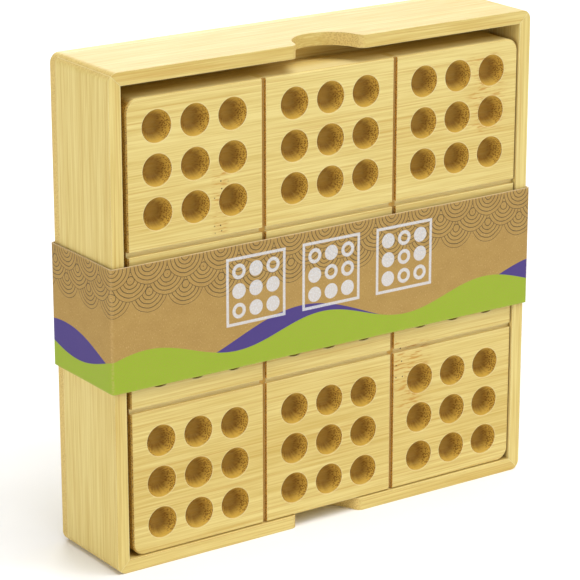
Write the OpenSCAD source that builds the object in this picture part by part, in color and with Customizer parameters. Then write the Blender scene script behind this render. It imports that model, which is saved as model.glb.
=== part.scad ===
// Sudoku board that drops into a shallow mitred box, with its balls behind it
// and a card sleeve round the middle. Sizes are in millimetres.
// The box stands on its bottom wall with its open side towards -Y.

/* [Box] */
// Width of the box
box_w = 150; // [135:1:220]
// Height of the box
box_h = 150; // [135:1:220]
// Depth of the box, with its base
box_d = 32; // [29:0.5:60]
// Thickness of the four walls
wall_t = 4; // [3:0.1:6]
// Thickness of the base panel
base_t = 3; // [2:0.1:5]
// Radius of the outer corners
corner_r = 3; // [0.5:0.1:3.5]
// Thickness of the two ledges that carry the board
ledge_t = 6; // [5:0.1:9]

/* [Finger scoops] */
// Width of a scoop at its mouth
scoop_w = 27; // [20:0.5:34]
// Depth of a scoop from the front edge
scoop_depth = 11; // [8:0.5:12.5]
// Rounding of the mouth
scoop_lip_r = 2.5; // [1:0.1:3]

/* [Board] */
// Thickness of the board
board_t = 14; // [10:0.5:15.5]
// Total play across the box
board_play_w = 2; // [1.5:0.1:4.5]
// Total play up and down
board_play_h = 4.6; // [3:0.1:6]
// Gap under the board, which has dropped
board_drop_gap = 0.2; // [0.1:0.05:0.5]
// Gap on the right, where the board has slid over
board_side_gap = 0.3; // [0.2:0.1:1]
// How far the face lies behind the front edge
board_recess = 0.5; // [0.3:0.1:1]
// Gap between the board and the ledges
board_seat_gap = 0.1; // [0.05:0.01:0.2]
// Radius of the board's corners
board_corner_r = 4; // [2:0.5:8]
// Bevel round the board's face
board_bevel = 0.4; // [0.3:0.1:1]

/* [Dimples] */
// Diameter of a dimple at the face
dimple_d = 9.8; // [8:0.1:10.4]
// Depth of a dimple
dimple_depth = 4; // [2.5:0.1:4.6]
// Spacing of the dimples in a block
dimple_pitch = 12.8; // [11.5:0.1:13]
// From the board's sides to the first dimple's centre
dimple_side_margin = 10.1; // [8:0.05:11]
// From the board's top and bottom to the first dimple's centre
dimple_end_margin = 8.8; // [8:0.05:11]
// Width of the lines between the blocks
groove_w = 1.5; // [0.8:0.1:1.8]
// Depth of the lines between the blocks
groove_depth = 1.2; // [0.5:0.1:2]

/* [Balls] */
// Diameter of a ball
ball_d = 10; // [8:0.1:10.5]
// Gap round a stored ball
ball_gap = 0.1; // [0.05:0.01:0.2]

/* [Sleeve] */
// Height of the sleeve
sleeve_h = 37.5; // [25:0.5:60]
// Thickness of the card
card_t = 0.5; // [0.3:0.05:0.8]
// Gap to the box's sides
sleeve_side_gap = 0.5; // [0.4:0.1:2]
// Gap to the box's front edge
sleeve_front_gap = 0.5; // [0.4:0.1:2]
// Gap to the base panel
sleeve_back_gap = 0.5; // [0.3:0.1:2]
// Inside radius of the creases
crease_r = 0.6; // [0.3:0.1:1]
// Width of the glued lap at the back
lap_w = 16; // [8:1:30]
// From the middle of the back to the lap's middle
lap_offset = 40; // [20:1:50]

/* [Hidden] */
$fn = 64;
overrun = 1;

// Depths: the part is centred on Y with its sleeve
front_reach = sleeve_front_gap + card_t;
back_reach = sleeve_back_gap + card_t + card_t;
front_y = (front_reach - box_d - back_reach) / 2;
back_y = front_y + box_d;
base_y = back_y - base_t;
face_y = front_y + board_recess;
seat_y = face_y + board_t + board_seat_gap;

// Inside of the box
inner_w = box_w - 2 * wall_t;
inner_h = box_h - 2 * wall_t;

// Board
board_w = inner_w - board_play_w;
board_h = inner_h - board_play_h;
board_x = inner_w / 2 - board_side_gap - board_w / 2;
board_z = wall_t + board_drop_gap + board_h / 2;
dimple_r = (pow(dimple_d / 2, 2) + pow(dimple_depth, 2)) / (2 * dimple_depth);

// Grid of nine by nine in three by three blocks
blocks = 3;
cells = 3;
mid_block = (blocks - 1) / 2;
mid_cell = (cells - 1) / 2;
block_span = dimple_pitch * (cells - 1);
block_pitch_x = (board_w - 2 * dimple_side_margin - block_span) / (blocks - 1);
block_pitch_z = (board_h - 2 * dimple_end_margin - block_span) / (blocks - 1);

// Scoop: a round cut that runs into two round lips
scoop_r = (pow(scoop_w / 2, 2) + pow(scoop_depth, 2)) / (2 * scoop_depth) - scoop_lip_r;
scoop_y = scoop_depth - scoop_r;
scoop_low_y = min(scoop_y, 0) - overrun;

// Pile of balls: long and short rows that nest, on the lower ledge
colours = 9;
colour_step = 7;
run_step = 4;
balls = blocks * cells * blocks * cells;
long_row = floor((inner_w - ball_gap) / (ball_d + ball_gap));
row_pair = long_row + long_row - 1;
ball_pitch = (inner_w - 2 * ball_gap - ball_d) / (long_row - 1);
row_rise = sqrt(pow(ball_d + ball_gap, 2) - pow(ball_pitch / 2, 2));
pile_z = wall_t + ledge_t + ball_gap + ball_d / 2;
pile_y = base_y - ball_gap - ball_d / 2;

// Sleeve
sleeve_z = (box_h - sleeve_h) / 2;
sleeve_in_w = box_w + 2 * sleeve_side_gap;
sleeve_front_y = front_y - sleeve_front_gap;
sleeve_back_y = back_y + sleeve_back_gap;
sleeve_in_d = sleeve_back_y - sleeve_front_y;
sleeve_mid_y = (sleeve_front_y + sleeve_back_y) / 2;

// Rectangle with round corners, about the origin
module rounded(w, h, r) {
    square([w - 2 * r, h], center = true);
    square([w, h - 2 * r], center = true);
    for (sx = [-1, 1], sz = [-1, 1])
        translate([sx * (w / 2 - r), sz * (h / 2 - r)])
            circle(r);
}

// Extrudes an outline drawn in X and Z from one depth to another
module slab(y0, y1) {
    translate([0, y1, 0])
        rotate([90, 0, 0])
            linear_extrude(y1 - y0)
                children();
}

module box_outline() {
    translate([0, box_h / 2])
        rounded(box_w, box_h, corner_r);
}

module scoop_outline() {
    translate([0, scoop_y])
        circle(scoop_r);
    for (side = [0, 1])
        mirror([side, 0])
            difference() {
                polygon([
                    [0, scoop_y],
                    [scoop_w / 2, scoop_lip_r],
                    [scoop_w / 2, scoop_low_y],
                    [0, scoop_low_y]
                ]);
                translate([scoop_w / 2, scoop_lip_r])
                    circle(scoop_lip_r);
            }
}

// Wall across the top or the bottom, with mitred ends and a scoop
module cross_wall(outer_z, inner_z) {
    difference() {
        slab(front_y, base_y)
            intersection() {
                box_outline();
                polygon([
                    [-box_w / 2, outer_z],
                    [box_w / 2, outer_z],
                    [inner_w / 2, inner_z],
                    [-inner_w / 2, inner_z]
                ]);
            }
        translate([0, front_y, min(outer_z, inner_z) - overrun])
            linear_extrude(wall_t + 2 * overrun)
                scoop_outline();
    }
}

// Wall up one side, with mitred ends
module side_wall(side) {
    slab(front_y, base_y)
        intersection() {
            box_outline();
            polygon([
                [side * box_w / 2, 0],
                [side * box_w / 2, box_h],
                [side * inner_w / 2, box_h - wall_t],
                [side * inner_w / 2, wall_t]
            ]);
        }
}

module top_wall() {
    color("burlywood")
        cross_wall(box_h, box_h - wall_t);
}

module bottom_wall() {
    color("burlywood")
        cross_wall(0, wall_t);
}

module left_wall() {
    color("tan")
        side_wall(-1);
}

module right_wall() {
    color("tan")
        side_wall(1);
}

module base_panel() {
    color("wheat")
        slab(base_y, back_y)
            box_outline();
}

module ledge(z) {
    translate([-inner_w / 2, seat_y, z])
        cube([inner_w, base_y - seat_y, ledge_t]);
}

module top_ledge() {
    color("peru")
        ledge(box_h - wall_t - ledge_t);
}

module bottom_ledge() {
    color("peru")
        ledge(wall_t);
}

// Section through the board from face to back, with the bevel at both ends
module board_section(w) {
    polygon([
        [-w / 2 + board_bevel, 0],
        [w / 2 - board_bevel, 0],
        [w / 2, board_bevel],
        [w / 2, board_t],
        [-w / 2, board_t],
        [-w / 2, board_bevel]
    ]);
}

// Board before it is cut, with its face at Y zero and its middle at the origin
module board_blank() {
    run_w = board_w - 2 * board_corner_r;
    run_h = board_h - 2 * board_corner_r;
    translate([0, 0, -run_h / 2])
        linear_extrude(run_h)
            board_section(board_w);
    translate([-run_w / 2, 0, 0])
        rotate([90, 0, 90])
            linear_extrude(run_w)
                rotate(90)
                    mirror([0, 1])
                        board_section(board_h);
    for (sx = [-1, 1], sz = [-1, 1])
        translate([sx * run_w / 2, 0, sz * run_h / 2])
            rotate([-90, 0, 0])
                rotate_extrude()
                    polygon([
                        [0, 0],
                        [board_corner_r - board_bevel, 0],
                        [board_corner_r, board_bevel],
                        [board_corner_r, board_t],
                        [0, board_t]
                    ]);
}

module dimples() {
    for (bx = [0 : blocks - 1], bz = [0 : blocks - 1], cx = [0 : cells - 1], cz = [0 : cells - 1])
        translate([
            (bx - mid_block) * block_pitch_x + (cx - mid_cell) * dimple_pitch,
            dimple_depth - dimple_r,
            (bz - mid_block) * block_pitch_z + (cz - mid_cell) * dimple_pitch
        ])
            sphere(dimple_r);
}

module grooves() {
    for (side = [-1, 1]) {
        translate([side * block_pitch_x / 2 - groove_w / 2, -overrun, -board_h / 2 - overrun])
            cube([groove_w, groove_depth + overrun, board_h + 2 * overrun]);
        translate([-board_w / 2 - overrun, -overrun, side * block_pitch_z / 2 - groove_w / 2])
            cube([board_w + 2 * overrun, groove_depth + overrun, groove_w]);
    }
}

module board() {
    color("khaki")
        translate([board_x, face_y, board_z])
            difference() {
                board_blank();
                dimples();
                grooves();
            }
}

module sleeve() {
    color("sandybrown")
        translate([0, 0, sleeve_z])
            linear_extrude(sleeve_h) {
                translate([0, sleeve_mid_y])
                    difference() {
                        rounded(sleeve_in_w + 2 * card_t, sleeve_in_d + 2 * card_t, crease_r + card_t);
                        rounded(sleeve_in_w, sleeve_in_d, crease_r);
                    }
                translate([lap_offset - lap_w / 2, sleeve_back_y])
                    square([lap_w, card_t + card_t]);
            }
}

// Place of a ball in the pile, counted along the rows from the bottom
function in_long(i) = i % row_pair < long_row;
function row_of(i) = 2 * floor(i / row_pair) + (in_long(i) ? 0 : 1);
function along(i) = in_long(i) ? i % row_pair : i % row_pair - long_row + 1 / 2;
function ball_place(i) = [
    (along(i) - (long_row - 1) / 2) * ball_pitch,
    pile_y,
    pile_z + row_of(i) * row_rise
];

// Each run of nine balls holds every colour once, in a different order
function colour_of(i) = (colour_step * i + run_step * floor(i / colours)) % colours;

module ball_set(colour) {
    for (i = [0 : balls - 1])
        if (colour_of(i) == colour)
            translate(ball_place(i))
                sphere(d = ball_d);
}

module balls_red() {
    color("crimson")
        ball_set(0);
}

module balls_orange() {
    color("darkorange")
        ball_set(1);
}

module balls_yellow() {
    color("gold")
        ball_set(2);
}

module balls_green() {
    color("forestgreen")
        ball_set(3);
}

module balls_teal() {
    color("teal")
        ball_set(4);
}

module balls_blue() {
    color("royalblue")
        ball_set(5);
}

module balls_purple() {
    color("rebeccapurple")
        ball_set(6);
}

module balls_white() {
    color("ivory")
        ball_set(7);
}

module balls_black() {
    color("dimgray")
        ball_set(8);
}

top_wall();
bottom_wall();
left_wall();
right_wall();
base_panel();
top_ledge();
bottom_ledge();
board();
sleeve();
balls_red();
balls_orange();
balls_yellow();
balls_green();
balls_teal();
balls_blue();
balls_purple();
balls_white();
balls_black();
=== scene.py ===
import math

import bmesh
import bpy
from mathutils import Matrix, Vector


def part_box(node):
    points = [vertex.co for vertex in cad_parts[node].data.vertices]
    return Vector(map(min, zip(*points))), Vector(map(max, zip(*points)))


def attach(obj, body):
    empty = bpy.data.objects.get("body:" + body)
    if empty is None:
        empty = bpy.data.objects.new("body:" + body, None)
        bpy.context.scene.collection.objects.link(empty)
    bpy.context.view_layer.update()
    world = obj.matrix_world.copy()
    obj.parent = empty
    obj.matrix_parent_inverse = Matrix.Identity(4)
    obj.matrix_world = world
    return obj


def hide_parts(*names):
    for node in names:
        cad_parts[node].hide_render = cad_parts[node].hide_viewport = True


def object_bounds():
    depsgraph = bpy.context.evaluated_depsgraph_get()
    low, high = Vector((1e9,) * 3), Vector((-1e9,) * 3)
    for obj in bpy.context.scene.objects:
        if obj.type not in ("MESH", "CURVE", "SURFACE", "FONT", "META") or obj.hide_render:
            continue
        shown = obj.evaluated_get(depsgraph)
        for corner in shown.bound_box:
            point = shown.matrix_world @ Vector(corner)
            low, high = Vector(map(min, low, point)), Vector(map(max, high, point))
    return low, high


# Looks of a bamboo sudoku board in its box: bamboo, painted balls and a printed card sleeve.
# Lengths are in metres. The box's open side faces -Y and the bamboo's fibres run along X or Z.
# A value that ends in SHARE says how far a feature covers or changes what is under it.
# A value that ends in STEP gives the two levels between which a feature sets in.

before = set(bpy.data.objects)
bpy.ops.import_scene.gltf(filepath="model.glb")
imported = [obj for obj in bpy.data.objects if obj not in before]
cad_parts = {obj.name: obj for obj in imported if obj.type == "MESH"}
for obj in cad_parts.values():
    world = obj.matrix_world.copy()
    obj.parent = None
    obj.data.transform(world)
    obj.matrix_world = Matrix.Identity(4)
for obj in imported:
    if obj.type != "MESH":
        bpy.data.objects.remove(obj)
cad_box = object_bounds()

MM = 0.001

# Camera at the photograph's viewing angle
CAMERA_AT = (-0.4467, -0.6431, 0.3223)
CAMERA_YAW = 34.61
CAMERA_PITCH = 17.89
CAMERA_LENS = 168.2
SENSOR_W = 36.0

# Board: three by three blocks of three by three dimples
DIMPLE_R = 4.9 * MM
DIMPLE_DEPTH = 4 * MM
DIMPLE_PITCH = 12.8 * MM
SIDE_MARGIN = 10.1 * MM
END_MARGIN = 8.8 * MM
GROOVE_W = 1.5 * MM
GROOVE_DEPTH = 1.2 * MM
GROOVE_STEP = (0.5 * GROOVE_DEPTH, 0.9 * GROOVE_DEPTH)
RIM_W = 0.4 * MM
# Ring at each dimple's edge that takes a painted highlight
RIM_HIGHLIGHT_STEP = (DIMPLE_R - RIM_W / 4, DIMPLE_R)
RIM_DROP_STEP = (0.05 * MM, 0.5 * MM)

# Sleeve: one strip of card round the box, glued at a lap on the back
CARD_T = 0.5 * MM
CREASE_R = 0.85 * MM
CREASE_STEPS = 5
LAP_W = 16 * MM
LAP_OFFSET = 40 * MM
LAP_RAMP = 2 * MM
PANEL_BOW = 0.3 * MM
EDGE_RIPPLE = 0.1 * MM
RIPPLE_L = 9 * MM
EDGE_CURL = 0.6
PANEL_STEPS = 16
SLEEVE_ROWS = 8

# Detail of a fine noise, and the rays that look for a nearby edge where edges are rounded
FINE_DETAIL = 3.0
BEVEL_SAMPLES = 6


def srgb(red, green, blue):
    """A colour given in 0 to 255 as it shows on a screen, as linear RGBA."""
    shown = [channel / 255 for channel in (red, green, blue)]
    linear = [c / 12.92 if c <= 0.04045 else ((c + 0.055) / 1.055) ** 2.4 for c in shown]
    return (*linear, 1.0)


class Field:
    """A number, colour or vector that varies over a surface, with arithmetic that adds nodes."""

    def __init__(self, paint, socket):
        self.paint = paint
        self.socket = socket

    def __add__(self, other):
        return self.paint.math("ADD", self, other)

    def __sub__(self, other):
        return self.paint.math("SUBTRACT", self, other)

    def __rsub__(self, other):
        return self.paint.math("SUBTRACT", other, self)

    def __mul__(self, other):
        return self.paint.math("MULTIPLY", self, other)

    def __truediv__(self, other):
        return self.paint.math("DIVIDE", self, other)

    __radd__ = __add__
    __rmul__ = __mul__

    def abs(self):
        return self.paint.math("ABSOLUTE", self)

    def floor(self):
        return self.paint.math("FLOOR", self)

    def round(self):
        return self.paint.math("ROUND", self)

    def sine(self):
        return self.paint.math("SINE", self)

    def root(self):
        return self.paint.math("SQRT", self)

    def at_least(self, other):
        return self.paint.math("MAXIMUM", self, other)

    def at_most(self, other):
        return self.paint.math("MINIMUM", self, other)

    def nearest_of_three(self):
        """The nearest of -1, 0 and 1."""
        return self.round().at_least(-1.0).at_most(1.0)

    def swing(self):
        """A value from 0 to 1 as a swing about zero."""
        return self - 0.5

    def rise(self, low, high):
        """0 below low, 1 above high and a smooth step between them."""
        made = self.paint.node("ShaderNodeMapRange", interpolation_type="SMOOTHSTEP")
        self.paint.plug(made.inputs["Value"], self)
        made.inputs["From Min"].default_value = low
        made.inputs["From Max"].default_value = high
        return Field(self.paint, made.outputs["Result"])

    def fall(self, low, high):
        """1 below low, 0 above high and a smooth step between them."""
        return 1.0 - self.rise(low, high)


class Paint:
    """One material and the nodes that make it."""

    def __init__(self, name):
        self.material = bpy.data.materials.new(name)
        self.material.use_nodes = True
        self.tree = self.material.node_tree
        self.tree.nodes.clear()
        self.shader = self.node("ShaderNodeBsdfPrincipled")
        output = self.node("ShaderNodeOutputMaterial")
        self.tree.links.new(self.shader.outputs["BSDF"], output.inputs["Surface"])

    def node(self, kind, **settings):
        made = self.tree.nodes.new(kind)
        for key, value in settings.items():
            setattr(made, key, value)
        return made

    def plug(self, socket, value):
        """Links a field to a socket, or sets the socket to a constant."""
        if isinstance(value, Field):
            self.tree.links.new(value.socket, socket)
        else:
            socket.default_value = value

    def set(self, **values):
        """Sets the shader's sockets by name, with underscores for spaces."""
        for key, value in values.items():
            self.plug(self.shader.inputs[key.replace("_", " ")], value)

    def math(self, operation, *values):
        made = self.node("ShaderNodeMath", operation=operation)
        for socket, value in zip(made.inputs, values):
            self.plug(socket, value)
        return Field(self, made.outputs["Value"])

    def mix(self, share, first, second):
        """The first colour at a share of 0 and the second at 1."""
        made = self.node("ShaderNodeMix", data_type="RGBA")
        sockets = {socket.identifier: socket for socket in made.inputs}
        self.plug(sockets["Factor_Float"], share)
        self.plug(sockets["A_Color"], first)
        self.plug(sockets["B_Color"], second)
        return Field(self, next(s for s in made.outputs if s.identifier == "Result_Color"))

    def split(self, vector):
        made = self.node("ShaderNodeSeparateXYZ")
        self.plug(made.inputs["Vector"], vector)
        return [Field(self, socket) for socket in made.outputs]

    def vector(self, *values):
        made = self.node("ShaderNodeCombineXYZ")
        for socket, value in zip(made.inputs, values):
            self.plug(socket, value)
        return Field(self, made.outputs["Vector"])

    def coordinate(self, name):
        """Object, Normal or UV coordinates, which stay with the piece as it moves."""
        return Field(self, self.node("ShaderNodeTexCoord").outputs[name])

    def noise(self, x, y, z=0.0, detail=2.0):
        made = self.node("ShaderNodeTexNoise")
        self.plug(made.inputs["Vector"], self.vector(x, y, z))
        made.inputs["Scale"].default_value = 1.0
        made.inputs["Detail"].default_value = detail
        return Field(self, made.outputs["Fac"])

    def cells(self, x, y):
        """Distance to the nearest of scattered points one apart, and that point's random number."""
        made = self.node("ShaderNodeTexVoronoi", voronoi_dimensions="2D")
        self.plug(made.inputs["Vector"], self.vector(x, y, 0.0))
        made.inputs["Scale"].default_value = 1.0
        lot = self.split(Field(self, made.outputs["Color"]))[0]
        return Field(self, made.outputs["Distance"]), lot

    def lot(self, x, y):
        """A random number for each pair of numbers."""
        made = self.node("ShaderNodeTexWhiteNoise", noise_dimensions="3D")
        self.plug(made.inputs["Vector"], self.vector(x, y, 0.0))
        return Field(self, made.outputs["Value"])

    def soft_edges(self, radius):
        """The normal with every edge rounded, and how far it leans from the true one there."""
        bevel = self.node("ShaderNodeBevel", samples=BEVEL_SAMPLES)
        bevel.inputs["Radius"].default_value = radius
        true = self.node("ShaderNodeNewGeometry")
        dot = self.node("ShaderNodeVectorMath", operation="DOT_PRODUCT")
        self.tree.links.new(bevel.outputs["Normal"], dot.inputs[0])
        self.tree.links.new(true.outputs["Normal"], dot.inputs[1])
        return Field(self, bevel.outputs["Normal"]), 1.0 - Field(self, dot.outputs["Value"])

    def bump(self, height, depth, strength, normal=None):
        made = self.node("ShaderNodeBump")
        made.inputs["Strength"].default_value = strength
        made.inputs["Distance"].default_value = depth
        self.plug(made.inputs["Height"], height)
        if normal is not None:
            self.plug(made.inputs["Normal"], normal)
        self.plug(self.shader.inputs["Normal"], Field(self, made.outputs["Normal"]))


# Bamboo: colours of its long grain and its end grain, and a pale colour for painted highlights
BAMBOO_PALE = srgb(234, 215, 141)
BAMBOO_DEEP = srgb(209, 179, 97)
BAMBOO_LINE = srgb(196, 148, 58)
# Painted highlight: a pale colour laid on rounded edges, dimple rims and level grooves
BAMBOO_HIGHLIGHT = srgb(250, 236, 176)
END_PALE = srgb(224, 196, 122)
END_PALE_BUNDLE = srgb(184, 146, 74)

# Bamboo: widths of its features across the fibres, and their number to a metre along them
STRIP_W = 22 * MM
FIBRE_W = 0.42 * MM
FIBRE_RATE = 50
STREAK_W = 1.3 * MM
STREAK_RATE = 12
LINE_W = 0.591 * MM
LINE_RATE = 14
LINE_START = 3.0
VEIL_W = 14 * MM
VEIL_RATE = 10
WANDER = 0.8 * MM
WANDER_RATE = 9
WANDER_ACROSS_RATE = 45
BUNDLE_W = 0.52 * MM
ARRIS_R = 0.35 * MM

# Bamboo: how far its features show, and its painted highlight on rounded edges
STREAK_SHARE = 0.4
VEIL_SHARE = 0.3
STRIP_SHARE = 0.2
SHADE_STEP = (0.1, 0.9)
LINE_SHARE = 0.42
LINE_STEP = (0.56, 0.7)
BUNDLE_STEP = (0.2, 0.46)
BUNDLE_LOT_STEP = (0.0, 0.35)
PALE_BUNDLE_SHARE = 0.6
END_STEP = (0.2, 0.8)
# Painted highlight along rounded edges: how strong, and the lean of the normal at which it sets in
ARRIS_HIGHLIGHT_SHARE = 0.7
ARRIS_HIGHLIGHT_STEP = (0.01, 0.15)

# Bamboo: finish
FIBRE_RELIEF = 0.05 * MM
FIBRE_BUMP = 0.35
STREAK_BUMP_SHARE = 0.5
BAMBOO_ROUGH = 0.42
FIBRE_ROUGH = 0.2
END_ROUGH = 0.25
DIMPLE_ROUGH = 0.4
BAMBOO_SPECULAR = 0.2


class Grain:
    """Bamboo's fibres, which run along the first of three axes in strips laid along the second."""

    def __init__(self, paint, axes, seed):
        self.paint = paint
        self.place = dict(zip("XYZ", paint.split(paint.coordinate("Object"))))
        self.normal = dict(zip("XYZ", paint.split(paint.coordinate("Normal"))))
        self.along, self.across, inward = (self.place[axis] for axis in axes)
        wander = paint.noise(
            self.along * WANDER_RATE + seed,
            self.across * WANDER_ACROSS_RATE,
            inward * WANDER_ACROSS_RATE,
        )
        drift = wander.swing() * WANDER
        self.side = self.across + drift
        self.depth = inward + drift
        self.tone = paint.lot((self.side / STRIP_W + seed).floor(), seed)
        self.run = self.along + self.tone
        self.fibre = self.drawn_out(FIBRE_W, FIBRE_RATE, FINE_DETAIL)
        self.streak = self.drawn_out(STREAK_W, STREAK_RATE, FINE_DETAIL)
        spread, lot = paint.cells(self.side / BUNDLE_W, self.depth / BUNDLE_W)
        self.bundle = spread.fall(*BUNDLE_STEP) * lot.rise(*BUNDLE_LOT_STEP)
        self.end = self.normal[axes[0]].abs().rise(*END_STEP)

    def drawn_out(self, width, rate, detail=2.0, start=0.0):
        """Noise drawn out along the fibres, which starts anew in each strip."""
        along = self.run * rate + start
        return self.paint.noise(along, self.side / width, self.depth / width, detail)


def long_grain(grain):
    """Colour of bamboo where its fibres lie along the surface."""
    veil = grain.drawn_out(VEIL_W, VEIL_RATE)
    shade = grain.fibre + grain.streak.swing() * STREAK_SHARE
    shade = shade + veil.swing() * VEIL_SHARE + grain.tone.swing() * STRIP_SHARE
    colour = grain.paint.mix(shade.rise(*SHADE_STEP), BAMBOO_PALE, BAMBOO_DEEP)
    lines = grain.drawn_out(LINE_W, LINE_RATE, start=LINE_START)
    return grain.paint.mix(lines.rise(*LINE_STEP) * LINE_SHARE, colour, BAMBOO_LINE)


# Board: colours of its dimples, its grooves and its dark end grain, with painted shade and painted
# light in its dimples, grooves and sides, and how far they show
END_DARK = srgb(194, 152, 66)
END_DARK_BUNDLE = srgb(104, 60, 12)
GROOVE_BROWN = srgb(196, 140, 44)
# Painted light on the end grain of the upright grooves' walls, against their shade
GROOVE_WALL_LIGHT = srgb(222, 172, 72)
CAVITY_WALL = srgb(202, 162, 62)
# Painted shade that deepens towards the dimples' bottoms
CAVITY_DEEP_SHADE = srgb(124, 78, 4)
# Painted light on the dimples' floors, where they face out
CAVITY_FLOOR_LIGHT = srgb(198, 156, 64)
# How strong the painted highlight round the dimples' rims is
RIM_HIGHLIGHT_SHARE = 0.25
# Painted highlight in the level grooves, standing in for their lit lower walls
LEVEL_GROOVE_HIGHLIGHT_SHARE = 0.6
UPRIGHT_GROOVE_SHARE = 0.65
GROOVE_WALL_LIGHT_SHARE = 0.7
# Painted shade on the board's upper and lower sides
SHELF_SHADE_SHARE = 0.15
SHELF_SHADE_STEP = (0.6, 0.9)
TURNED_LINES = 5.0
TURNED_SPREAD = 9
TURNED_SHARE = 0.5
# Depths at which the painted shade in the dimples sets in
CAVITY_SHADE_STEP = (0.25, 0.95)
CAVITY_SHARE = 0.84
CAVITY_FIBRE_SHARE = 0.12
CAVITY_END_SHARE = 0.6
CAVITY_FLOOR_LIGHT_SHARE = 0.5
CAVITY_FLOOR_LIGHT_STEP = (0.8, 1.0)
DARK_BUNDLE_SHARE = 0.8


def block_place(place, start, end, margin):
    """Place from the middle of the nearest dimple and from the nearest line, along one side."""
    block_pitch = (end - start - 2 * margin - 2 * DIMPLE_PITCH) / 2
    from_middle = place - (start + end) / 2
    in_block = from_middle - (from_middle / block_pitch).round() * block_pitch
    cell = (in_block / DIMPLE_PITCH).nearest_of_three()
    return in_block - cell * DIMPLE_PITCH, from_middle.abs() - block_pitch / 2


class BoardPlace:
    """Where a point of the board lies: its depth, and its shares in a dimple, a rim with a painted
    highlight, and a groove.
    """

    def __init__(self, grain):
        low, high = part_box("board")
        self.sunk = grain.place["Y"] - low.y
        shallow = self.sunk.fall(DIMPLE_DEPTH, 2 * DIMPLE_DEPTH)
        off_x, off_upright = block_place(grain.place["X"], low.x, high.x, SIDE_MARGIN)
        off_z, _ = block_place(grain.place["Z"], low.z, high.z, END_MARGIN)
        radius = (off_x * off_x + off_z * off_z).root()
        near = radius.fall(DIMPLE_R, DIMPLE_R + RIM_W) * shallow
        # Ring at each dimple's edge, where a painted highlight is laid
        self.rim = near * radius.rise(*RIM_HIGHLIGHT_STEP)
        self.inside = near * self.sunk.rise(*RIM_DROP_STEP)
        self.outside = 1.0 - self.inside
        self.groove = self.sunk.rise(*GROOVE_STEP) * self.outside * shallow
        self.upright = off_upright.abs().fall(GROOVE_W / 2, GROOVE_W)
        self.turned = grain.paint.noise(
            off_x / radius * TURNED_LINES,
            off_z / radius * TURNED_LINES,
            grain.tone * TURNED_SPREAD,
        )


def dimple_colour(grain, spot):
    """Colour in a dimple: painted shade that deepens with depth and in turned lines, and painted light
    on its floor.
    """
    # Painted shade: darker with depth, broken by the turned lines
    deep_shade = (spot.sunk / DIMPLE_DEPTH + spot.turned.swing() * TURNED_SHARE).rise(*CAVITY_SHADE_STEP)
    # Painted light: the floor of a dimple, which faces out, is lifted back out of the painted shade
    level = grain.normal["Y"].abs().rise(*CAVITY_FLOOR_LIGHT_STEP)
    colour = grain.paint.mix(deep_shade, CAVITY_WALL, CAVITY_DEEP_SHADE)
    return grain.paint.mix(level * CAVITY_FLOOR_LIGHT_SHARE, colour, CAVITY_FLOOR_LIGHT)


def board_colour(grain, spot, colour):
    """The long grain's colour with the board's rims, grooves, dimples and end grain added, with painted
    highlights, painted shade and painted light on them.
    """
    mix = grain.paint.mix
    facing = grain.normal["Y"].abs()
    # Painted shade: the board's upper and lower sides, which sit under the walls, turn browner
    shelf_shade = grain.normal["Z"].abs().rise(*SHELF_SHADE_STEP) * spot.outside
    # Painted highlight round each dimple's rim
    colour = mix(spot.rim * RIM_HIGHLIGHT_SHARE, colour, BAMBOO_HIGHLIGHT)
    # Painted highlight: level grooves paler, for light falling on their lower walls
    colour = mix(spot.groove * (1.0 - spot.upright) * LEVEL_GROOVE_HIGHLIGHT_SHARE, colour, BAMBOO_HIGHLIGHT)
    colour = mix(spot.groove * facing * spot.upright * UPRIGHT_GROOVE_SHARE, colour, GROOVE_BROWN)
    colour = mix(shelf_shade * SHELF_SHADE_SHARE, colour, BAMBOO_LINE)
    # The dimple's colour, with its painted shade and painted floor light
    shaded_dimple = dimple_colour(grain, spot)
    cover = CAVITY_SHARE + grain.fibre * CAVITY_FIBRE_SHARE
    colour = mix(spot.inside * cover, colour, shaded_dimple)
    end = mix(spot.inside * CAVITY_END_SHARE, END_DARK, shaded_dimple)
    # Painted light: the upright grooves' walls turn paler where the narrow groove shades them
    end = mix(spot.upright * spot.outside * GROOVE_WALL_LIGHT_SHARE, end, GROOVE_WALL_LIGHT)
    end = mix(grain.bundle * DARK_BUNDLE_SHARE, end, END_DARK_BUNDLE)
    return mix(grain.end, colour, end)


# Nodes of the bamboo in the board's face: middle across and up, half width, half height, pores
NODE_MARKS = [
    (-38 * MM, 108 * MM, 3.5 * MM, 12 * MM, 1.0),
    (27 * MM, 44 * MM, 4 * MM, 10 * MM, 1.0),
    (59 * MM, 126 * MM, 10 * MM, 14 * MM, 0.0),
    (32 * MM, 40 * MM, 9 * MM, 13 * MM, 0.0),
]
NODE_TINT = srgb(196, 138, 52)
NODE_PORE = srgb(70, 42, 12)
NODE_BESIDE_STEP = (0.3, 1.0)
NODE_ABOVE_STEP = (0.7, 1.0)
NODE_SHARE = 0.06
NODE_FADE_SHARE = 0.8
DASH_L = 5 * MM
DASH_W = 0.7 * MM
DASH_SHARE = 0.7
DASH_STEP = (0.5, 0.64)
PORE_W = 2.2 * MM
PORE_STEP = (0.06, 0.14)
PORE_LOT_STEP = (0.62, 0.7)


def node_marks(x, z):
    """How strongly a point belongs to one of the bamboo's nodes, and to one with pores."""
    tint, pores = 0.0, 0.0
    for middle_x, middle_z, half_w, half_h, porous in NODE_MARKS:
        beside = ((x - middle_x) / half_w).abs().fall(*NODE_BESIDE_STEP)
        above = ((z - middle_z) / half_h).abs().fall(*NODE_ABOVE_STEP)
        tint = beside * above + tint
        pores = beside * above * porous + pores
    return tint.at_most(1.0), pores


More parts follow.
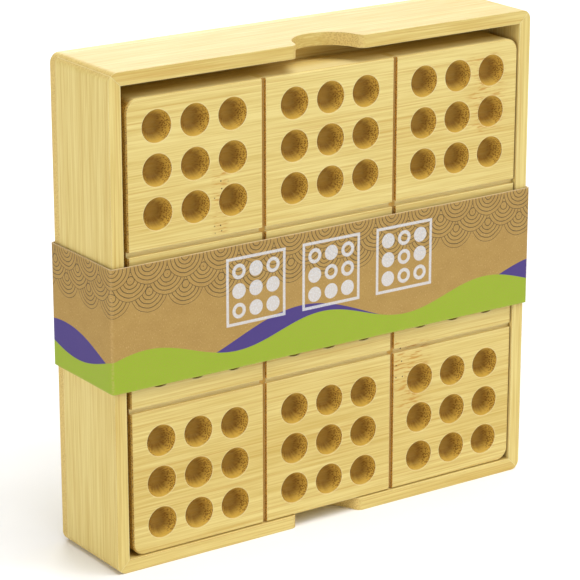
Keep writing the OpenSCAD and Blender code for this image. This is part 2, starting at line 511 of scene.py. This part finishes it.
def node_colour(grain, spot, colour):
    """The board's colour with the dashes and pores of the bamboo's nodes added."""
    paint = grain.paint
    tint, pores = node_marks(grain.place["X"], grain.place["Z"])
    tint = tint * (1.0 - spot.inside * NODE_FADE_SHARE)
    dash = paint.noise(grain.along / DASH_L, grain.side / DASH_W).rise(*DASH_STEP)
    colour = paint.mix(tint * (NODE_SHARE + dash * DASH_SHARE), colour, NODE_TINT)
    spread, lot = paint.cells(grain.along / PORE_W, grain.across / PORE_W)
    pore = spread.fall(*PORE_STEP) * lot.rise(*PORE_LOT_STEP)
    return paint.mix(pores * pore, colour, NODE_PORE)


def bamboo(name, axes, seed, dimpled):
    """Bamboo with its long grain and end grain, the board's dimples where it has them, and a painted
    highlight along its rounded edges.
    """
    paint = Paint(name)
    grain = Grain(paint, axes, seed)
    colour = long_grain(grain)
    rough = grain.end * END_ROUGH
    if dimpled:
        spot = BoardPlace(grain)
        colour = board_colour(grain, spot, colour)
        colour = node_colour(grain, spot, colour)
        rough = rough.at_least(spot.inside * DIMPLE_ROUGH)
    else:
        end = paint.mix(grain.bundle * PALE_BUNDLE_SHARE, END_PALE, END_PALE_BUNDLE)
        colour = paint.mix(grain.end, colour, end)
    soft, lean = paint.soft_edges(ARRIS_R)
    # Painted highlight: rounded edges turn paler where the rounded normal leans from the true one
    colour = paint.mix(lean.rise(*ARRIS_HIGHLIGHT_STEP) * ARRIS_HIGHLIGHT_SHARE, colour, BAMBOO_HIGHLIGHT)
    relief = grain.fibre + grain.streak * STREAK_BUMP_SHARE - grain.bundle * grain.end
    paint.bump(relief, FIBRE_RELIEF, FIBRE_BUMP, soft)
    paint.set(
        Base_Color=colour,
        Roughness=BAMBOO_ROUGH + grain.fibre * FIBRE_ROUGH + rough,
        Specular_IOR_Level=BAMBOO_SPECULAR,
    )
    return paint.material


# Painted balls: gloss paint over turned wood
BALL_COLOURS = {
    "red": srgb(196, 36, 38),
    "orange": srgb(232, 118, 30),
    "yellow": srgb(240, 196, 44),
    "green": srgb(62, 140, 62),
    "teal": srgb(30, 150, 156),
    "blue": srgb(40, 84, 176),
    "purple": srgb(110, 62, 150),
    "white": srgb(238, 234, 222),
    "black": srgb(44, 44, 46),
}
PAINT_SHADE = srgb(24, 18, 14)
SHADE_W = 4 * MM
PAINT_SHADE_STEP = (0.4, 0.9)
PAINT_SHADE_SHARE = 0.12
PEEL_W = 1 * MM
PEEL_RELIEF = 0.04 * MM
PEEL_BUMP = 0.2
PAINT_ROUGH = 0.24
PEEL_ROUGH = 0.2
COAT_SHARE = 0.4
COAT_ROUGH = 0.12


def gloss_paint(name, colour):
    """Gloss paint with a faint orange peel, a little darker in places."""
    paint = Paint(name)
    x, y, z = paint.split(paint.coordinate("Object"))
    peel = paint.noise(x / PEEL_W, y / PEEL_W, z / PEEL_W, FINE_DETAIL)
    shade = paint.noise(x / SHADE_W, y / SHADE_W, z / SHADE_W).rise(*PAINT_SHADE_STEP)
    paint.bump(peel, PEEL_RELIEF, PEEL_BUMP)
    paint.set(
        Base_Color=paint.mix(shade * PAINT_SHADE_SHARE, colour, PAINT_SHADE),
        Roughness=PAINT_ROUGH + peel * PEEL_ROUGH,
        Coat_Weight=COAT_SHARE,
        Coat_Roughness=COAT_ROUGH,
    )
    return paint.material


# Card: colours, fibres, wear and finish
KRAFT = srgb(181, 147, 83)
KRAFT_DARK = srgb(146, 108, 54)
KRAFT_PALE = srgb(214, 180, 124)
KRAFT_EDGE = srgb(226, 208, 172)
FLECK_W = 0.35 * MM
FLECK_H = 0.583 * MM
FLECK_SHARE = 0.6
DARK_FLECK_STEP = (0.58, 0.75)
PALE_FLECK_STEP = (0.28, 0.42)
CLOUD_W = 5 * MM
CLOUD_LAYER = 4.0
CLOUD_SHARE = 0.2
CLOUD_STEP = (0.25, 0.8)
EDGE_LEAST_SHARE = 0.4
EDGE_FLECK_SHARE = 0.6
WEAR_W = 0.6 * MM
WEAR_GRAIN = 0.7 * MM
WEAR_LAYER = 2.0
WEAR_SHARE = 0.3
WEAR_STEP = (0.35, 0.6)
CARD_RELIEF = 0.04 * MM
PRINT_BUMP = 0.4
BARE_BUMP = 0.5
PRINT_ROUGH = 0.86
INK_SMOOTH = 0.2
BARE_ROUGH = 0.9
PRINT_SPECULAR = 0.3
BARE_SPECULAR = 0.2

# Print: four inks
PRINT_GREEN = srgb(148, 184, 32)
PRINT_PURPLE = srgb(58, 46, 132)
PRINT_GREY = srgb(222, 222, 224)
PRINT_BLACK = srgb(40, 36, 32)
INK_SOFT = 0.08 * MM
INK_SHARE = 0.72
INK_FLECK_SHARE = 0.26
INK_FLECK_STEP = (0.3, 0.55)
PURPLE_SHARE = 0.92

# Print: rows of hills along the lower edge, tiles of nine dots, and fans along the upper edge
HILL_H = 8.5 * MM
HILL_WAVE = 3.2 * MM
HILLS_ROUND = 6
HILL_START = 0.4
BACK_HILL_H = 9 * MM
BACK_HILL_WAVE = 6 * MM
BACK_HILLS_ROUND = 4
BACK_HILL_START = 3.4
TILE_PITCH = 27 * MM
TILE_HALF = 10 * MM
TILE_LINE = 0.9 * MM
TILE_UP = 23.5 * MM
TILE_STRIDE = 5
DOT_PITCH = 6 * MM
DOT_R = 2.35 * MM
DOT_HOLE_R = 1.25 * MM
DOT_HOLE_STEP = (0.5, 0.51)
FANS_ROUND = 30
FAN_ROWS = 3
FAN_ROW_H = 4.2 * MM
FAN_R = 6.2 * MM
FAN_RING_PITCH = 1.24 * MM
FAN_LINE = 0.13 * MM
FAN_WOBBLE = 0.5 * MM
WOBBLE_W = 3 * MM
WOBBLE_LAYER = 9.0


def kraft_ground(paint, u, v):
    """Colour of bare kraft card, and its fibre as a height."""
    fleck = paint.noise(u / FLECK_W, v / FLECK_H, detail=FINE_DETAIL)
    cloud = paint.noise(u / CLOUD_W, v / CLOUD_W, CLOUD_LAYER, FINE_DETAIL)
    colour = paint.mix(cloud.rise(*CLOUD_STEP) * CLOUD_SHARE, KRAFT, KRAFT_DARK)
    colour = paint.mix(fleck.rise(*DARK_FLECK_STEP) * FLECK_SHARE, colour, KRAFT_DARK)
    colour = paint.mix(fleck.fall(*PALE_FLECK_STEP) * FLECK_SHARE, colour, KRAFT_PALE)
    return colour, fleck


def ink_within(distance, limit):
    """1 where a distance is under its limit, with the soft edge of a printed line."""
    return distance.fall(limit - INK_SOFT, limit + INK_SOFT)


def hill(u, height, wave, length, start):
    """Height of a row of hills at a place along the strip."""
    return height + wave * (u * (math.tau / length) + start).sine()


def nine_dots(paint, u, v):
    """Three square tiles in the middle of the front, each with nine dots or rings."""
    front_w = cad_box[1].x - cad_box[0].x
    from_middle = u - front_w / 2
    tile = (from_middle / TILE_PITCH).nearest_of_three()
    across = from_middle - tile * TILE_PITCH
    up = v - TILE_UP
    column = (across / DOT_PITCH).nearest_of_three()
    row = (up / DOT_PITCH).nearest_of_three()
    off_across, off_up = across - column * DOT_PITCH, up - row * DOT_PITCH
    radius = (off_across * off_across + off_up * off_up).root()
    hollow = paint.lot(tile * TILE_STRIDE + column, row).rise(*DOT_HOLE_STEP)
    dot = ink_within(radius, DOT_R) - ink_within(radius, DOT_HOLE_R) * hollow
    border = (across.abs().at_least(up.abs()) - TILE_HALF).abs()
    return dot.at_least(ink_within(border, TILE_LINE / 2))


def fans(paint, u, v, height, girth):
    """Rows of nested half rings that hang from the upper edge, each row over the one below it."""
    pitch = girth / FANS_ROUND
    wobble = paint.noise(u / WOBBLE_W, v / WOBBLE_W, WOBBLE_LAYER).swing() * FAN_WOBBLE
    drawn = 0.0
    for row in reversed(range(FAN_ROWS)):
        shifted = u - pitch * (row % 2) / 2
        off = shifted - (shifted / pitch).round() * pitch
        drop = height - FAN_ROW_H * row - v
        radius = (off * off + drop * drop).root() + wobble
        ring = (radius - (radius / FAN_RING_PITCH).round() * FAN_RING_PITCH).abs()
        fan = radius.fall(FAN_R, FAN_R + INK_SOFT)
        drawn = drawn * (1.0 - fan) + ink_within(ring, FAN_LINE) * fan
    return drawn


def rubbed(paint, u, v, height, creases):
    """How far the ink has rubbed off along the creases and the cut edges."""
    near = v.at_most(height - v)
    for crease in creases:
        near = near.at_most((u - crease).abs())
    patchy = paint.noise(u / WEAR_GRAIN, v / WEAR_GRAIN, WEAR_LAYER, FINE_DETAIL)
    return near.fall(0.0, WEAR_W) * patchy.rise(*WEAR_STEP)


def printed_card(name, height, girth, creases):
    """Kraft card with a print in four inks that meets itself where the card laps."""
    paint = Paint(name)
    u, v, _ = paint.split(paint.coordinate("UV"))
    colour, fleck = kraft_ground(paint, u, v)
    back_hills = hill(u, BACK_HILL_H, BACK_HILL_WAVE, girth / BACK_HILLS_ROUND, BACK_HILL_START)
    hills = hill(u, HILL_H, HILL_WAVE, girth / HILLS_ROUND, HILL_START)
    green = ink_within(v - hills, 0.0)
    purple = ink_within(v - back_hills, 0.0) * (1.0 - green)
    cover = INK_SHARE + fleck.fall(*INK_FLECK_STEP) * INK_FLECK_SHARE
    inks = [
        (fans(paint, u, v, height, girth), PRINT_BLACK, cover),
        (purple, PRINT_PURPLE, PURPLE_SHARE),
        (green, PRINT_GREEN, cover),
        (nine_dots(paint, u, v), PRINT_GREY, cover),
    ]
    inked = 0.0
    for area, ink, share in inks:
        colour = paint.mix(area * share, colour, ink)
        inked = area.at_least(inked)
    worn = rubbed(paint, u, v, height, creases) * WEAR_SHARE
    paint.bump(fleck, CARD_RELIEF, PRINT_BUMP)
    paint.set(
        Base_Color=paint.mix(worn, colour, KRAFT_PALE),
        Roughness=PRINT_ROUGH - inked * INK_SMOOTH,
        Specular_IOR_Level=PRINT_SPECULAR,
    )
    return paint.material


def bare_card(name, ground=None):
    """Kraft card with no print, or its cut edge in a paler ground."""
    paint = Paint(name)
    u, v, _ = paint.split(paint.coordinate("UV"))
    colour, fleck = kraft_ground(paint, u, v)
    if ground is not None:
        colour = paint.mix(EDGE_LEAST_SHARE + fleck * EDGE_FLECK_SHARE, colour, ground)
    paint.bump(fleck, CARD_RELIEF, BARE_BUMP)
    paint.set(Base_Color=colour, Roughness=BARE_ROUGH, Specular_IOR_Level=BARE_SPECULAR)
    return paint.material


def crease_bend(x, y, start):
    """Points of a quarter turn to the left about a centre, from an angle in degrees."""
    angles = [math.radians(start + 90 * i / CREASE_STEPS) for i in range(CREASE_STEPS + 1)]
    return [Vector((x + CREASE_R * math.cos(a), y + CREASE_R * math.sin(a))) for a in angles]


def panel(start, end, bow):
    """Points between two creases, with how far the card bows in at each."""
    shares = [i / PANEL_STEPS for i in range(1, PANEL_STEPS)]
    return [(start.lerp(end, share), bow * math.sin(math.pi * share) ** 2) for share in shares]


def strip_path(low, high):
    """The card's middle line in plan and its bow, from the lap's hidden end round to its outer end.

    Also gives the places of the four creases in the list."""
    left, right = low.x + CARD_T / 2, high.x - CARD_T / 2
    front, back = low.y + CARD_T / 2, high.y - CARD_T - CARD_T / 2
    hidden_end = Vector((LAP_OFFSET + LAP_W / 2, back))
    foot = hidden_end + Vector((LAP_RAMP, 0))
    lap_start = hidden_end + Vector((0, CARD_T))
    lap_end = lap_start - Vector((LAP_W, 0))
    bends = [
        (crease_bend(left + CREASE_R, back - CREASE_R, 90), 0.0),
        (crease_bend(left + CREASE_R, front + CREASE_R, 180), PANEL_BOW),
        (crease_bend(right - CREASE_R, front + CREASE_R, 270), PANEL_BOW),
        (crease_bend(right - CREASE_R, back - CREASE_R, 0), PANEL_BOW),
    ]
    path = [(hidden_end, 0.0)]
    creases = []
    for bend, bow in bends:
        path += panel(path[-1][0], bend[0], bow)
        path += [(point, 0.0) for point in bend]
        creases.append(len(path) - len(bend) // 2 - 1)
    path += [(foot, 0.0), (lap_start, 0.0)]
    path += panel(lap_start, lap_end, 0.0)
    path.append((lap_end, 0.0))
    return path, creases


def lengths_along(path, zero):
    """Distance along the path's points, counted from the one numbered zero."""
    total, sums = 0.0, [0.0]
    for (here, _), (there, _) in zip(path, path[1:]):
        total += (there - here).length
        sums.append(total)
    return [s - sums[zero] for s in sums]


def outward(path):
    """Unit vectors to the right of the path at each point."""
    last = len(path) - 1
    aims = [path[min(i + 1, last)][0] - path[max(i - 1, 0)][0] for i in range(last + 1)]
    return [Vector((aim.y, -aim.x)).normalized() for aim in aims]


# Material slots of the sleeve
PRINT_SLOT = 0
INSIDE_SLOT = 1
EDGE_SLOT = 2


class CardStrip:
    """Mesh of a strip of card with two skins and cut edges, laid out flat in its UV map."""

    def __init__(self, path, along, bottom, height):
        self.mesh = bmesh.new()
        self.uv = self.mesh.loops.layers.uv.new("strip")
        self.corners = {}
        self.flat = {}
        sides = outward(path)
        for i, (point, bow) in enumerate(path):
            ripple = EDGE_RIPPLE * (0.5 + 0.5 * math.sin(along[i] / RIPPLE_L))
            for j in range(SLEEVE_ROWS + 1):
                share = j / SLEEVE_ROWS
                belly = bow * (1 - EDGE_CURL * (2 * share - 1) ** 2)
                up = height * share + ripple * (1 - 2 * share)
                for skin, out in (("outer", CARD_T / 2), ("inner", -CARD_T / 2)):
                    plan = point + sides[i] * (out - belly)
                    vertex = self.mesh.verts.new((plan.x, plan.y, bottom + up))
                    self.corners[skin, i, j] = vertex
                    self.flat[vertex] = (along[i], up)
        self.add_faces(len(path) - 1, SLEEVE_ROWS)
        for edge in self.mesh.edges:
            edge.smooth = len({face.material_index for face in edge.link_faces}) == 1

    def face(self, slot, *corners):
        """One face in a material slot, with its place in the flat strip."""
        made = self.mesh.faces.new([self.corners[corner] for corner in corners])
        made.material_index = slot
        made.smooth = True
        for loop in made.loops:
            loop[self.uv].uv = self.flat[loop.vert]

    def add_faces(self, last, top):
        """The two skins, the upper and lower cut edges, and the cut ends."""
        outer = [[("outer", i, j) for j in range(top + 1)] for i in range(last + 1)]
        inner = [[("inner", i, j) for j in range(top + 1)] for i in range(last + 1)]
        for i in range(last):
            here, there, back_here, back_there = outer[i], outer[i + 1], inner[i], inner[i + 1]
            for j in range(top):
                self.face(PRINT_SLOT, here[j], there[j], there[j + 1], here[j + 1])
                self.face(INSIDE_SLOT, back_here[j], back_here[j + 1], back_there[j + 1], back_there[j])
            self.face(EDGE_SLOT, here[top], there[top], back_there[top], back_here[top])
            self.face(EDGE_SLOT, here[0], back_here[0], back_there[0], there[0])
        for j in range(top):
            front, back = outer[0], inner[0]
            self.face(EDGE_SLOT, front[j], front[j + 1], back[j + 1], back[j])
            front, back = outer[last], inner[last]
            self.face(EDGE_SLOT, front[j], back[j], back[j + 1], front[j + 1])


def new_piece(name, mesh):
    """A new object from a bmesh, linked to the scene."""
    data = bpy.data.meshes.new(name)
    mesh.to_mesh(data)
    mesh.free()
    made = bpy.data.objects.new(name, data)
    bpy.context.scene.collection.objects.link(made)
    return made


def card_sleeve():
    """The sleeve as one strip of card, printed outside and bare inside."""
    low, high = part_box("sleeve")
    height = high.z - low.z
    path, creases = strip_path(low, high)
    along = lengths_along(path, creases[1])
    girth = along[-1] - along[0] - LAP_W
    sleeve = new_piece("card_sleeve", CardStrip(path, along, low.z, height).mesh)
    materials = {
        PRINT_SLOT: printed_card("kraft_print", height, girth, [along[i] for i in creases]),
        INSIDE_SLOT: bare_card("kraft_inside"),
        EDGE_SLOT: bare_card("kraft_edge", KRAFT_EDGE),
    }
    for slot in sorted(materials):
        sleeve.data.materials.append(materials[slot])
    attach(sleeve, "sleeve")
    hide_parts("sleeve")


# Bamboo solids, each with the axes along its fibres, across its strips and through it
BAMBOO_AXES = {
    "top_wall": "XYZ",
    "bottom_wall": "XYZ",
    "left_wall": "ZYX",
    "right_wall": "ZYX",
    "base_panel": "XZY",
    "top_ledge": "XYZ",
    "bottom_ledge": "XYZ",
    "board": "XZY",
}
SEED_PITCH = 1.3


def dress_solids():
    """Gives every solid of the box, the board and the balls its material."""
    dress = {}
    for count, (node, axes) in enumerate(BAMBOO_AXES.items(), start=1):
        dress[node] = bamboo(f"bamboo_{node}", axes, count * SEED_PITCH, node == "board")
    for colour, value in BALL_COLOURS.items():
        dress[f"balls_{colour}"] = gloss_paint(f"paint_{colour}", value)
    for node, material in dress.items():
        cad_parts[node].material_slots[0].material = material


# Stage: a pale floor, wide soft light from above and three softboxes
FLOOR_HALF = 40.0
FLOOR_DROP = 0.05 * MM
FLOOR_WHITE = srgb(254, 254, 254)
FLOOR_SHADE = srgb(248, 248, 248)
FLOOR_RATE = 30
FLOOR_ROUGH = 0.9
WORLD_WHITE = (1, 1, 1, 1)
WORLD_LIGHT = 0.18
SKY_LIGHT = 2.35
SKY_WIDTH = 50
SKY_TILT = (16, 6, 0)
SOFTBOXES = [
    ("right", (1.3, -1.3, 1.1), 0.8, 8.5),
    ("left", (-1.9, -0.6, 0.7), 1.1, 13.5),
    ("back", (0.9, 1.7, 0.9), 1.2, 20.0),
]


def floor():
    """A wide pale floor just under the object."""
    mesh = bmesh.new()
    bmesh.ops.create_grid(mesh, x_segments=1, y_segments=1, size=FLOOR_HALF)
    made = new_piece("floor", mesh)
    made.location.z = -FLOOR_DROP
    paint = Paint("floor")
    x, y, _ = paint.split(paint.coordinate("Object"))
    shade = paint.noise(x * FLOOR_RATE, y * FLOOR_RATE)
    paint.set(Base_Color=paint.mix(shade, FLOOR_WHITE, FLOOR_SHADE), Roughness=FLOOR_ROUGH)
    made.data.materials.append(paint.material)


def sky():
    """A plain pale world and a wide soft sun, for light from above."""
    world = bpy.data.worlds.new("studio")
    world.use_nodes = True
    background = world.node_tree.nodes["Background"]
    background.inputs["Color"].default_value = WORLD_WHITE
    background.inputs["Strength"].default_value = WORLD_LIGHT
    bpy.context.scene.world = world
    data = bpy.data.lights.new("sky", "SUN")
    data.energy = SKY_LIGHT
    data.angle = math.radians(SKY_WIDTH)
    made = bpy.data.objects.new("sky", data)
    made.rotation_euler = [math.radians(turn) for turn in SKY_TILT]
    bpy.context.scene.collection.objects.link(made)


def softboxes():
    """Round area lights that face the middle of the object."""
    aim = (cad_box[0] + cad_box[1]) / 2
    for name, at, size, power in SOFTBOXES:
        data = bpy.data.lights.new(name, "AREA")
        data.shape = "DISK"
        data.size = size
        data.energy = power
        made = bpy.data.objects.new(name, data)
        made.location = at
        made.rotation_euler = (aim - Vector(at)).to_track_quat("-Z", "Y").to_euler()
        bpy.context.scene.collection.objects.link(made)


def camera():
    """The camera, and colours shown as they are."""
    data = bpy.data.cameras.new("camera")
    data.lens = CAMERA_LENS
    data.sensor_width = SENSOR_W
    made = bpy.data.objects.new("camera", data)
    made.location = CAMERA_AT
    made.rotation_euler = (math.radians(90 - CAMERA_PITCH), 0, math.radians(-CAMERA_YAW))
    bpy.context.scene.collection.objects.link(made)
    bpy.context.scene.camera = made
    bpy.context.scene.view_settings.view_transform = "Standard"


camera()
sky()
softboxes()
floor()
dress_solids()
card_sleeve()
